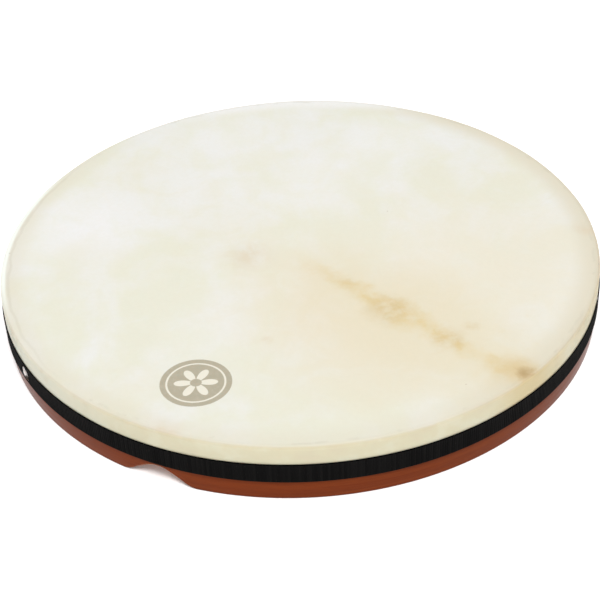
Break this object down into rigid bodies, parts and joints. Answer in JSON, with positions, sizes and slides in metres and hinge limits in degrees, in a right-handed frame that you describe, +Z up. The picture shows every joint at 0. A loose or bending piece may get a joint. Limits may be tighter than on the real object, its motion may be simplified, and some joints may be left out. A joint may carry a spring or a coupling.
{
  "type": "frame drum",
  "caption": "Shallow round single-headed frame drum: laminated wooden hoop with a hand notch, tacked goatskin head, ribbon trim and a bored vent.",
  "frame": {"origin": "centre of the open rim, on the plane the drum rests on", "axes": "+Z up the drum's axis from the open rim to the head; -Y is the side with the hand notch, which is turned 27 degrees from -Y towards -X"},
  "size_m": [0.5604, 0.5604, 0.057],
  "materials": {
    "goatskin": "natural untreated rawhide, matt",
    "hoop_wood": "reddish-brown satin lacquer",
    "ribbon": "black ribbed grosgrain weave",
    "tack_steel": "plain steel, hidden under the ribbon"
  },
  "bodies": {
    "root": {"goatskin_head": "goatskin", "hoop_outer_ply": "hoop_wood", "hoop_middle_ply": "hoop_wood", "hoop_inner_ply": "hoop_wood", "ribbon_band": "ribbon", "head_tack_01": "tack_steel", "head_tack_02": "tack_steel", "head_tack_03": "tack_steel", "head_tack_04": "tack_steel", "head_tack_05": "tack_steel", "head_tack_06": "tack_steel", "head_tack_07": "tack_steel", "head_tack_08": "tack_steel", "head_tack_09": "tack_steel", "head_tack_10": "tack_steel", "head_tack_11": "tack_steel", "head_tack_12": "tack_steel", "head_tack_13": "tack_steel", "head_tack_14": "tack_steel", "head_tack_15": "tack_steel", "head_tack_16": "tack_steel", "head_tack_17": "tack_steel", "head_tack_18": "tack_steel", "head_tack_19": "tack_steel", "head_tack_20": "tack_steel", "head_tack_21": "tack_steel", "head_tack_22": "tack_steel", "head_tack_23": "tack_steel", "head_tack_24": "tack_steel", "head_tack_25": "tack_steel", "head_tack_26": "tack_steel", "head_tack_27": "tack_steel", "head_tack_28": "tack_steel", "head_tack_29": "tack_steel", "head_tack_30": "tack_steel", "head_tack_31": "tack_steel", "head_tack_32": "tack_steel"}
  },
  "joints": []
}
